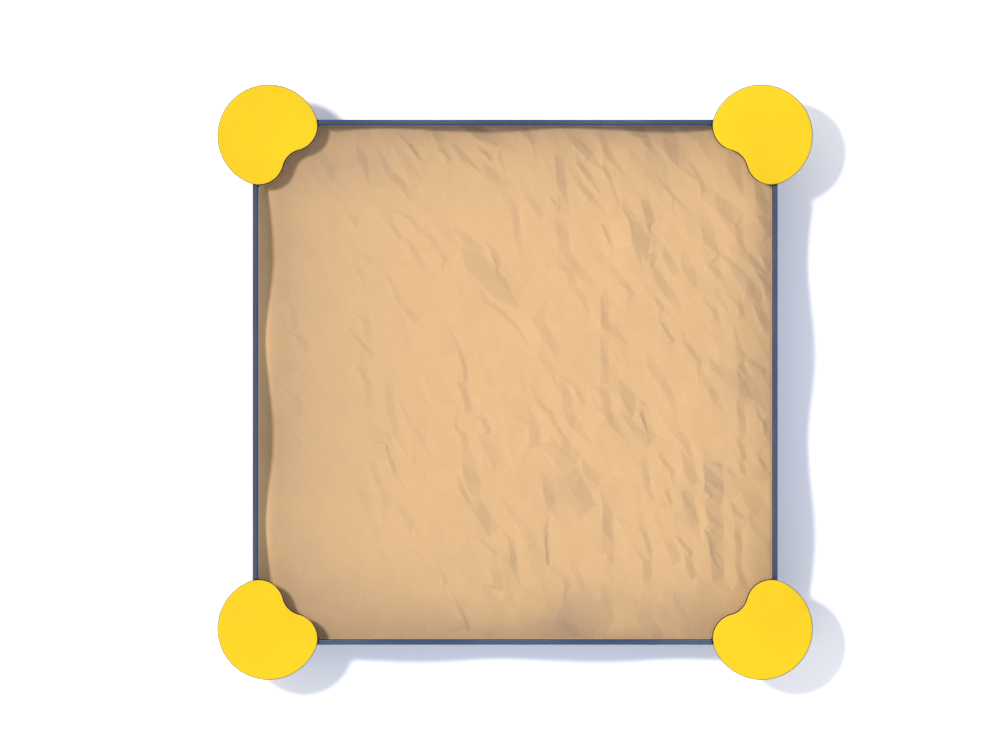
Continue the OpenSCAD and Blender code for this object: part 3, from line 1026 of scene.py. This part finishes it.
EAST_CREASES = creases_of(
    # north-east quarter
    ((150, 872), (158, 760), (168, 645), 38, 9), ((212, 910), (276, 842), 38, 11),
    ((232, 828), (282, 765), 22, 8), ((232, 748), (290, 688), 24, 9),
    ((325, 912), (338, 865), (366, 832), 26, 9), ((330, 818), (354, 768), 16, 6),
    ((140, 692), (160, 648), 14, 5), ((152, 622), (158, 560), (166, 500), 45, 12),
    ((166, 498), (200, 440), (246, 398), 38, 13), ((150, 455), (208, 392), 26, 7),
    ((322, 606), (357, 528), 12, 7), ((402, 670), (430, 625), (452, 588), 28, 9),
    ((440, 622), (447, 525), (482, 448), 72, 17), ((477, 692), (490, 640), (502, 598), 34, 12),
    ((482, 482), (522, 438), 22, 8), ((482, 434), (530, 382), (588, 308), 38, 13),
    ((528, 520), (562, 470), (602, 400), 34, 8), ((628, 442), (650, 398), (690, 364), 44, 12),
    ((570, 736), (606, 694), 15, 6), ((692, 780), (712, 716), 18, 7),
    ((705, 606), (716, 530), (722, 452), 52, 14), ((702, 702), (770, 648), (846, 592), 56, 14),
    ((722, 450), (770, 396), 26, 8), ((838, 600), (843, 535), (846, 482), 28, 10),
    ((848, 484), (900, 448), (930, 398), (953, 328), 30, 13),
    ((840, 392), (878, 342), (916, 308), 46, 14), ((904, 302), (925, 240), (962, 182), 34, 12),
    ((914, 742), (918, 690), (945, 642), 34, 11), ((918, 634), (965, 548), 34, 11),
    ((946, 478), (942, 402), 26, 9), ((325, 336), (325, 215), (366, 184), 38, 16),
    ((323, 186), (326, 80), (322, -15), 32, 9), ((545, 232), (600, 146), 13, 7),
    ((638, 152), (704, 56), 17, 9), ((704, 82), (745, 45), (800, 18), 34, 11),
    ((840, 142), (844, 60), (856, 2), 30, 12), ((872, 84), (952, 28), 20, 8),
    ((60, 240), (100, 168), (146, 108), 40, 14), ((560, 934), (572, 872), (622, 812), 58, 12),
    ((480, 942), (505, 880), 28, 8), ((205, 352), (262, 300), 26, 5), ((10, 956), (74, 900), 34, 7),
    ((746, 482), (832, 440), 18, 6), ((80, 90), (150, 10), 30, 5), ((520, 318), (560, 270), 20, 5),
    ((740, 290), (762, 232), 22, 6), ((846, 302), (856, 246), 20, 7), ((40, 700), (92, 620), 30, 6),
    ((398, 380), (440, 320), 26, 5),
    # south-east quarter
    ((92, -96), (140, -133), 17, 8), ((145, -168), (176, -202), 13, 6),
    ((172, 12), (176, -50), (182, -98), 38, 11), ((178, -104), (196, -150), (216, -180), 42, 12),
    ((205, -8), (232, -50), (258, -94), 24, 8), ((140, -205), (180, -250), (216, -284), 36, 11),
    ((98, -255), (150, -305), (205, -352), 58, 16), ((204, -296), (258, -350), (316, -398), 40, 13),
    ((102, -372), (108, -430), (120, -482), 36, 12), ((180, -366), (222, -436), (256, -508), 66, 16),
    ((48, -145), (52, -252), 46, 9), ((325, -18), (328, -60), (336, -96), 34, 11),
    ((324, -98), (345, -135), (368, -172), 30, 12), ((346, -16), (402, -62), (446, -142), 54, 15),
    ((396, -112), (440, -182), (500, -252), 60, 14), ((478, -84), (490, -150), (508, -208), 30, 13),
    ((478, -300), (484, -350), (486, -402), 28, 8), ((478, -560), (508, -654), 18, 7),
    ((485, -660), (486, -765), 34, 8), ((545, -288), (600, -356), 18, 8),
    ((568, -408), (587, -468), 14, 7), ((628, -250), (640, -330), (668, -402), 42, 14),
    ((634, -410), (646, -480), (664, -562), 42, 13), ((605, -588), (668, -662), 16, 9),
    ((640, -655), (650, -705), (668, -756), 30, 11), ((716, -292), (758, -312), (798, -340), 30, 10),
    ((714, -302), (720, -372), (724, -448), 74, 18), ((715, -402), (747, -444), 15, 9),
    ((722, -480), (736, -530), (742, -568), 58, 15), ((718, -560), (748, -654), 18, 11),
    ((744, -564), (746, -660), (748, -762), 50, 15), ((840, -208), (850, -250), (860, -296), 24, 11),
    ((844, -300), (862, -352), 22, 7), ((838, -548), (834, -600), (838, -644), 28, 10),
    ((836, -690), (848, -742), (872, -796), 24, 11), ((716, -10), (735, -40), (758, -84), 30, 10),
    ((798, -2), (850, -48), (908, -68), 60, 14), ((842, -66), (845, -130), (850, -206), 32, 12),
    ((922, -130), (953, -188), 15, 9), ((944, -138), (950, -200), 26, 9),
    ((920, -288), (949, -334), 14, 7), ((334, -472), (330, -560), (334, -652), 40, 16),
    ((330, -622), (348, -662), (368, -704), 48, 11), ((168, -735), (196, -794), 24, 8),
    ((206, -706), (230, -750), (252, -796), 28, 9), ((48, -545), (50, -640), (60, -716), 72, 15),
    ((110, -560), (122, -702), 24, 9), ((590, -190), (650, -260), 34, 6),
    ((560, -600), (600, -700), 40, 6), ((860, -420), (900, -520), 40, 6),
)
WEST_CREASES = creases_of(
    # north-west quarter
    ((-205, 505), (-188, 432), (-135, 378), (-80, 318), (12, 276), 84, 21),
    ((-95, 498), (-82, 450), (-66, 398), 28, 10), ((-130, 306), (-62, 264), (0, 204), 18, 8),
    ((-410, 906), (-373, 850), 15, 8), ((-500, 796), (-450, 752), (-398, 688), 30, 9),
    ((-480, 592), (-443, 543), 18, 7), ((-440, 540), (-402, 508), (-380, 462), 26, 6),
    ((-458, 640), (-402, 616), (-373, 572), 18, 7), ((-232, 884), (-204, 842), (-172, 802), 26, 9),
    ((-136, 878), (-92, 838), 22, 8), ((-170, 832), (-112, 780), (-38, 742), 42, 12),
    ((-286, 884), (-254, 843), 17, 6), ((-16, 700), (-12, 620), (-8, 552), 28, 9),
    ((-642, 194), (-592, 142), (-550, 104), 17, 8), ((-476, 372), (-458, 310), (-438, 282), 24, 7),
    ((-436, 284), (-380, 222), 26, 7), ((-594, 254), (-576, 178), 32, 7),
    ((-217, 114), (-202, 62), (-196, 4), 18, 9), ((-862, 302), (-850, 194), 26, 6),
    ((-850, 190), (-800, 108), 32, 6), ((-205, 972), (-160, 932), (-62, 896), 50, 12),
    ((-600, 482), (-560, 452), (-500, 444), 26, 6), ((-660, 642), (-606, 588), 28, 5),
    ((-330, 960), (-290, 900), 40, 7), ((-620, 432), (-580, 392), 24, 5),
    ((-300, 500), (-272, 452), 26, 5), ((-340, 560), (-312, 520), 22, 5),
    # south-west quarter
    ((-598, 62), (-578, 0), (-572, -96), 30, 10), ((-500, 8), (-494, -110), (-468, -212), 36, 11),
    ((-502, -198), (-490, -250), (-478, -294), 28, 11), ((-487, -286), (-465, -354), 17, 9),
    ((-562, -178), (-548, -232), (-530, -294), 52, 10), ((-562, -296), (-530, -402), 26, 6),
    ((-602, -392), (-592, -440), (-580, -492), 42, 9), ((-522, -398), (-510, -450), (-490, -484), 42, 8),
    ((-222, 4), (-206, -42), (-190, -122), 28, 10), ((-218, -180), (-200, -262), 30, 6),
    ((-206, -300), (-196, -370), (-182, -412), 60, 12), ((-216, -398), (-184, -466), 18, 9),
    ((-186, -466), (-150, -512), (-100, -594), 54, 14), ((-150, -202), (-120, -262), (-70, -302), 44, 8),
    ((-28, -598), (-22, -650), (-20, -704), 26, 10), ((-222, -856), (-198, -908), (-180, -952), 14, 11),
    ((-166, -790), (-120, -820), (-58, -832), 40, 10), ((-100, -702), (-80, -768), (-40, -800), 40, 9),
    ((-150, -600), (-74, -662), 18, 5), ((-140, -130), (-110, -200), 24, 6),
    ((-862, -40), (-830, -122), 32, 6), ((-862, -208), (-818, -254), 24, 5),
    ((-856, -620), (-812, -702), 34, 6), ((-456, -482), (-400, -560), 30, 6),
    ((-290, -728), (-266, -768), 14, 4), ((-404, -170), (-360, -232), 24, 5),
)
# Patches of painted shade over the cover, and of painted light where the strength is below zero.
SHADING_PATCHES = [ShadingPatch(*row) for row in (
    ((-980, 0), (420, 1400), 0.24), ((-620, 820), (260, 110), 0.26), ((0, 960), (800, 45), 0.16),
    ((620, 900), (180, 90), 0.10), ((570, 980), (260, 40), 0.20), ((-60, 400), (120, 80), 0.10, -40.0),
    ((500, 560), (60, 130), 0.16), ((560, 820), (60, 60), 0.18), ((180, 760), (50, 120), 0.14),
    ((900, 420), (60, 160), 0.20), ((950, 620), (40, 140), 0.24), ((870, 0), (80, 90), 0.34),
    ((770, -400), (55, 90), 0.26), ((760, -650), (40, 160), 0.26), ((190, -420), (90, 80), 0.26),
    ((430, -160), (70, 90), 0.16), ((210, -900), (90, 90), 0.42), ((360, -830), (120, 50), 0.16),
    ((640, -860), (110, 70), 0.26), ((90, -960), (220, 45), 0.18), ((-360, -900), (200, 60), 0.16),
    ((-700, -800), (220, 120), 0.18), ((760, -930), (60, 60), 0.20), ((220, 870), (60, 70), 0.10),
    ((340, -560), (40, 80), 0.12), ((90, -640), (50, 70), 0.12), ((-160, -350), (45, 60), 0.10),
    ((-130, -540), (60, 80), 0.10), ((-20, -690), (25, 60), 0.22), ((650, -470), (30, 70), 0.16),
    # patches of painted light
    ((955, -430), (60, 130), -0.24), ((880, 690), (60, 70), -0.10), ((350, 540), (90, 120), -0.08),
    ((-30, 120), (160, 90), -0.03), ((560, -40), (80, 90), -0.05),
)]


@dataclass
class Cover:
    """The creased cover: one sheet laid wall to wall on the sand, cut round the seats."""

    shape: SeatShape
    finish: CoverFabric
    step: float = 4.2 * MM
    seat_gap: float = 1.5 * MM
    wall_gap: float = 1.0 * MM
    hem_r: float = 2.6 * MM
    hem_flatness: float = 0.75
    hem_step: float = 9.0 * MM
    hem_sides: int = 10
    edge_step: float = 6.0 * MM
    thickness: float = 0.8 * MM
    lowest: float = 184.0 * MM
    middle: float = 196.0 * MM
    highest: float = 213.0 * MM
    calm_reach: float = 0.30
    fold_width: float = 80.0 * MM
    swell: float = 3.0 * MM
    ripple: float = 1.6 * MM
    calm_share: float = 0.38
    fold_calm: float = 0.2
    # Painted shade on facets that slope away from the sun, and the direction of that slope.
    away_shade: float = 0.17
    away_slope: Point = (-0.97, -0.24)
    # A small random step for each whole facet in the painted shade.
    facet_jitter: float = 0.03
    soft_share: float = 0.35
    # Painted shade near the walls and painted light by the west wall.
    wall_shade: float = 0.20
    wall_reach: float = 55.0 * MM
    wide_reach: float = 240.0 * MM
    west_painted_light: float = 1.2
    west_reach: float = 50.0 * MM
    creases: list[Crease] = field(default_factory=lambda: [*EAST_CREASES, *WEST_CREASES])
    # The patches of painted shade and painted light.
    painted_light_and_shade: list[ShadingPatch] = field(default_factory=lambda: SHADING_PATCHES)

    def busyness(self, xs: np.ndarray) -> np.ndarray:
        """How strongly loose facets stand out: least in the southwest, and unevenly elsewhere."""
        x, y = np.meshgrid(xs, xs)
        lively = np.maximum(smoothstep(-0.80, 0.30, x), 0.9 * smoothstep(0.40, 0.85, y))
        uneven = np.clip(0.85 + 0.9 * smooth_field(xs, scale=2.6, layer=9.4), 0.35, 1.2)
        return (self.calm_share + (1 - self.calm_share) * lively) * uneven

    def surface(self, xs: np.ndarray) -> tuple[np.ndarray, np.ndarray]:
        """The sheet's height and its painted shade and light, on the square grid whose lines lie at xs both
        ways.
        """
        x, y = np.meshgrid(xs, xs)
        busy = self.busyness(xs)
        folds = FacetNet(self.creases, length=105 * MM, width=46 * MM, rough=2.1 * MM, seed=11)
        z, middles = folds.rasterise(xs, busy)
        wrinkles = FacetNet([], length=52 * MM, width=21 * MM, rough=0.55 * MM, seed=23, heading=112.0)
        fine, _ = wrinkles.rasterise(xs, busy)
        # Painted shade near the walls, in patches and on facets facing away from the sun; below zero it is
        # painted light.
        painted_shading = self.edge_shading(x, y) + self.patches(x, y, middles) + self.sun_away_shade(xs, z, busy)
        z = z + fine + self.swell * smooth_field(xs, scale=2.0, layer=0.4)
        z = z + self.ripple * smooth_field(xs, scale=7.0, layer=6.6)
        z = z - np.median(z)
        near_fold = np.clip(np.abs(x) / self.calm_reach, 0.0, 1.0)
        up = (self.highest - self.middle) * (self.fold_calm + (1 - self.fold_calm) * near_fold)
        down = self.middle - self.lowest
        return self.middle + np.where(z > 0, up * np.tanh(z / up), down * np.tanh(z / down)), painted_shading

    def edge_shading(self, x: np.ndarray, y: np.ndarray) -> np.ndarray:
        """Painted shade for each place, darker the nearer it lies to a wall; by the west wall the amount
        falls below zero, painting light into that wall's shadow.
        """
        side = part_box("panel_east")[0].x
        from_wall = np.minimum(side - np.abs(x), side - np.abs(y))
        wide = self.wall_shade - 0.12 * smoothstep(0.50, 0.90, x)
        # Painted shade close to the walls and, more faintly, further out.
        edge = self.wall_shade * np.exp(-from_wall / self.wall_reach)
        edge = edge + wide * np.exp(-from_wall / self.wide_reach)
        # Painted light: a strip along the west wall is lifted out of its shadow.
        return edge - self.west_painted_light * np.exp(-(((x + side) / self.west_reach) ** 2))

    def patches(self, x: np.ndarray, y: np.ndarray, middles: np.ndarray) -> np.ndarray:
        """The patches of painted shade and painted light, which partly keep to whole facets, and a small
        random step for each facet.
        """
        soft = sum(patch.cover(x, y) for patch in self.painted_light_and_shade)
        whole = sum(patch.cover(*middles) for patch in self.painted_light_and_shade)
        chance = np.sin(middles[0] * 917.0 + middles[1] * 1273.0)
        return self.soft_share * soft + (1 - self.soft_share) * whole + self.facet_jitter * chance

    def sun_away_shade(self, xs: np.ndarray, z: np.ndarray, busy: np.ndarray) -> np.ndarray:
        """Painted shade on the facets that slope away from the sun, towards the east."""
        north, east = np.gradient(z, xs[1] - xs[0])
        # Painted shade: facets falling towards the east-north-east, away from the sun, are darkened.
        fall = self.away_slope[0] * east + self.away_slope[1] * north
        return self.away_shade * np.minimum(busy, 0.9) * smoothstep(0.03, 0.16, fall)

    def edge_outline(self, half: float) -> list[Point]:
        """The sheet's edge, anticlockwise: straight along the walls and cut round the seats.

        Args:
            half: half the box's outer side.

        Returns:
            The outline's points.
        """
        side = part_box("panel_east")[0].x - self.wall_gap - self.hem_r
        kidney = self.shape.outline(self.seat_gap + self.hem_r)
        inner = [(half - u, half - v) for u, v in kidney if max(half - u, half - v) < side]
        inner.sort(key=lambda p: math.atan2(p[1] - half, p[0] - half), reverse=True)
        run = [(side, inner[0][1]), *inner, (inner[-1][0], side)]
        points = []
        for _ in Corner:
            points += run
            run = [(-y, x) for x, y in run]
        return points

    def sheet(self, outline: list[Point], xs: np.ndarray, z: np.ndarray,
              painted_shading: np.ndarray) -> bpy.types.Object:
        """The sheet itself, cut to its outline.

        Args:
            outline: the sheet's edge.
            xs: the grid's lines.
            z: the height at each crossing.
            painted_shading: the painted shade, or painted light where below zero, at each crossing.

        Returns:
            The sheet, with how it bends and its painted shade and light stored at each point.
        """
        x, y = np.meshgrid(xs, xs)
        inside = inside_polygon(x, y, outline)
        keep = inside[:-1, :-1] & inside[1:, :-1] & inside[:-1, 1:] & inside[1:, 1:]
        verts, faces, used = cut_grid(xs, z, keep)
        border = border_vertices(faces)
        verts[border, :2] = nearest_on(verts[border, :2], np.array(outline))
        sheet = new_object("cover_sheet", verts, faces.tolist())
        set_attribute(sheet, "crease", curvature(z).ravel()[used])
        # Painted shade and painted light stored for the fabric.
        set_attribute(sheet, "painted_light_and_shade", np.clip(painted_shading.ravel()[used], -1.0, 1.0))
        solid = sheet.modifiers.new("thickness", "SOLIDIFY")
        solid.thickness, solid.offset = self.thickness, -1.0
        return sheet

    def build(self) -> None:
        """Makes the sheet and its rolled hem over the two CAD halves."""
        half = -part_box("panel_south")[0].y
        outline = resample(self.edge_outline(half), self.edge_step)
        side = max(p[0] for p in outline)
        xs = np.linspace(-side, side, 2 * round(side / self.step) + 1)
        z, painted_shading = self.surface(xs)
        sheet, hem = self.sheet(outline, xs, z, painted_shading), self.hem(outline, xs, z)
        material = self.finish.material()
        for piece in (sheet, hem):
            piece.data.materials.append(material)
            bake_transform(piece)
        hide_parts("cover_west_half", "cover_east_half")

    def hem(self, outline: list[Point], xs: np.ndarray, z: np.ndarray) -> bpy.types.Object:
        """A rolled hem: a flattened roll that follows the sheet's edge."""
        ring = np.array(resample(outline, self.hem_step))
        heights = sample(xs, z, ring)
        for _ in range(2):
            heights = (np.roll(heights, 1) + 2 * heights + np.roll(heights, -1)) / 4
        ahead = np.roll(ring, -1, axis=0) - np.roll(ring, 1, axis=0)
        ahead /= np.linalg.norm(ahead, axis=1)[:, None]
        outward = np.stack([ahead[:, 1], -ahead[:, 0]], axis=1)
        sides, verts = self.hem_sides, []
        for i in range(sides):
            a = 2 * math.pi * i / sides
            flat = ring + outward * (math.cos(a) * self.hem_r)
            verts.append(np.column_stack([flat, heights + self.hem_flatness * self.hem_r * math.sin(a)]))
        verts = np.stack(verts, axis=1).reshape(-1, 3)
        starts = [(i * sides, (i + 1) % len(ring) * sides) for i in range(len(ring))]
        faces = [[a + k, b + k, b + (k + 1) % sides, a + (k + 1) % sides]
                 for a, b in starts for k in range(sides)]
        hem = new_object("cover_hem", verts, faces)
        set_attribute(hem, "crease", np.zeros(len(verts)))
        # Painted shade near the walls, as on the sheet's edge.
        set_attribute(hem, "painted_light_and_shade", self.edge_shading(verts[:, 0], verts[:, 1]))
        return hem


def smooth_field(xs: np.ndarray, scale: float, layer: float) -> np.ndarray:
    """A smooth random field on a square grid, worked out on every fourth line and spread between."""
    coarse = xs[::4]
    rough = np.array([[noise_at(p, q, scale, layer) for p in coarse] for q in coarse])
    rows = np.array([np.interp(xs, coarse, row) for row in rough])
    return np.array([np.interp(xs, coarse, column) for column in rows.T]).T


def resample(points: list[Point], step: float) -> list[Point]:
    """Spaces a closed outline's points evenly, near step apart."""
    p = np.array([*points, points[0]])
    run = np.concatenate([[0.0], np.cumsum(np.linalg.norm(np.diff(p, axis=0), axis=1))])
    count = round(run[-1] / step)
    at = np.arange(count) * run[-1] / count
    return list(zip(np.interp(at, run, p[:, 0]), np.interp(at, run, p[:, 1])))


def inside_polygon(x: np.ndarray, y: np.ndarray, outline: list[Point]) -> np.ndarray:
    """Whether each place lies inside an outline."""
    crossed = np.zeros(x.shape, bool)
    for (ax, ay), (bx, by) in zip(outline, [*outline[1:], outline[0]]):
        if ay == by:
            continue
        spans = (ay > y) != (by > y)
        crossed ^= spans & (x < (bx - ax) * (y - ay) / (by - ay) + ax)
    return crossed


def border_vertices(faces: np.ndarray) -> np.ndarray:
    """The vertices on edges that only one face uses."""
    edges = np.sort(np.concatenate([faces[:, [k, (k + 1) % 4]] for k in range(4)]), axis=1)
    found, uses = np.unique(edges, axis=0, return_counts=True)
    return np.unique(found[uses == 1])


def nearest_on(points: np.ndarray, ring: np.ndarray) -> np.ndarray:
    """The nearest place on a closed outline to each point."""
    a, b = ring, np.roll(ring, -1, axis=0)
    out = np.zeros_like(points)
    for k, p in enumerate(points):
        ab = b - a
        t = np.clip(((p - a) * ab).sum(axis=1) / (ab * ab).sum(axis=1), 0, 1)
        foot = a + ab * t[:, None]
        out[k] = foot[np.argmin(((foot - p) ** 2).sum(axis=1))]
    return out


def sample(xs: np.ndarray, z: np.ndarray, points: np.ndarray) -> np.ndarray:
    """The grid's height at each point, taken from the nearest crossing."""
    step = xs[1] - xs[0]
    i = np.clip(np.rint((points[:, 0] - xs[0]) / step).astype(int), 0, len(xs) - 1)
    j = np.clip(np.rint((points[:, 1] - xs[0]) / step).astype(int), 0, len(xs) - 1)
    return z[j, i]


def curvature(z: np.ndarray) -> np.ndarray:
    """How sharply the sheet bends at each crossing: 1 on the sharpest crests, below 0 in valleys."""
    padded = np.pad(z, 1, mode="edge")
    bend = 4 * z - padded[:-2, 1:-1] - padded[2:, 1:-1] - padded[1:-1, :-2] - padded[1:-1, 2:]
    return np.clip(bend / (2.5 * bend.std()), -1.0, 1.0)


# ---------------------------------------------------------------- the studio


@dataclass
class Studio:
    """The plain pale floor, the soft light and the camera that looks straight down."""

    view_width: float = 3.809
    aim: Point = (-0.0575, 0.0274)
    camera_height: float = 12.0
    sun_direction: tuple[float, float, float] = (0.1379, -0.0674, -0.300)
    sun_strength: float = 3.0
    sun_spread: float = 6.5
    sun_colour: Colour = (1.0, 0.985, 0.95)
    horizon: float = 2.0
    zenith: float = 0.5
    south: float = 1.22
    north: float = 0.82
    sky: Colour = (0.94, 0.975, 1.09)
    floor_reach: float = 30.0
    floor_drop: float = 0.5 * MM

    def camera(self) -> None:
        """Makes the camera, with no perspective."""
        data = bpy.data.cameras.new("camera")
        data.type = "ORTHO"
        data.ortho_scale = self.view_width
        data.clip_end = 100.0
        camera = linked("camera", data)
        camera.location = (*self.aim, self.camera_height)
        bpy.context.scene.camera = camera

    def light(self) -> None:
        """Makes the soft sun and the even sky."""
        data = bpy.data.lights.new("sun", "SUN")
        data.energy, data.angle = self.sun_strength, math.radians(self.sun_spread)
        data.color = self.sun_colour
        linked("sun", data).rotation_euler = Vector(self.sun_direction).to_track_quat("-Z", "Y").to_euler()
        world = bpy.data.worlds.new("sky")
        world.use_nodes = True
        nodes, links = world.node_tree.nodes, world.node_tree.links
        axes = nodes.new("ShaderNodeSeparateXYZ")
        links.new(nodes.new("ShaderNodeTexCoord").outputs["Generated"], axes.inputs[0])
        strength = nodes.new("ShaderNodeMath")
        strength.operation = "MULTIPLY"
        ranges = [("Z", 0.0, 1.0, self.horizon, self.zenith), ("Y", -1.0, 1.0, self.south, self.north)]
        for slot, (axis, *limits) in enumerate(ranges):
            ramp = nodes.new("ShaderNodeMapRange")
            for socket, limit in zip(("From Min", "From Max", "To Min", "To Max"), limits):
                ramp.inputs[socket].default_value = limit
            links.new(axes.outputs[axis], ramp.inputs["Value"])
            links.new(ramp.outputs[0], strength.inputs[slot])
        sky = nodes["Background"]
        sky.inputs["Color"].default_value = (*self.sky, 1.0)
        links.new(strength.outputs[0], sky.inputs["Strength"])
        bpy.context.scene.world = world
        bpy.context.scene.view_settings.view_transform = "Standard"

    def floor(self) -> None:
        """Makes the floor just under the object."""
        signs = [(-1, -1), (1, -1), (1, 1), (-1, 1)]
        verts = [(x * self.floor_reach, y * self.floor_reach, -self.floor_drop) for x, y in signs]
        floor = new_object("studio_floor", np.array(verts), [[0, 1, 2, 3]], smooth=False)
        floor.data.materials.append(StudioFloor().material())


def main() -> None:
    """Builds every piece in order."""
    logging.basicConfig(level=logging.INFO, format="%(message)s")
    studio = Studio()
    studio.camera()
    studio.light()
    studio.floor()
    seat_shape = SeatShape()
    blue = LayeredBoard("wall_board_blue", (0.010, 0.056, 0.160), skin_t=4.5 * MM, gloss=0.16)
    yellow = LayeredBoard("seat_board_yellow", (0.57, 0.375, 0.004), skin_t=1.2 * MM, gloss=0.12)
    zinc = Steel("galvanised_steel", (0.52, 0.54, 0.56), spangle=70.0, roughness=0.42)
    bright = Steel("bright_steel", (0.62, 0.62, 0.63))
    WallBoards(seat_shape, blue).build()
    CornerSeats(seat_shape, yellow).build()
    WallFasteners(bright).build()
    HiddenSteel(zinc, bright, Steel("brass", (0.7, 0.48, 0.17))).build()
    GroundCloth(GroundFelt()).build()
    SandFilling(PlaySand()).build()
    Cover(seat_shape, CoverFabric()).build()


if __name__ == "__main__":
    main()
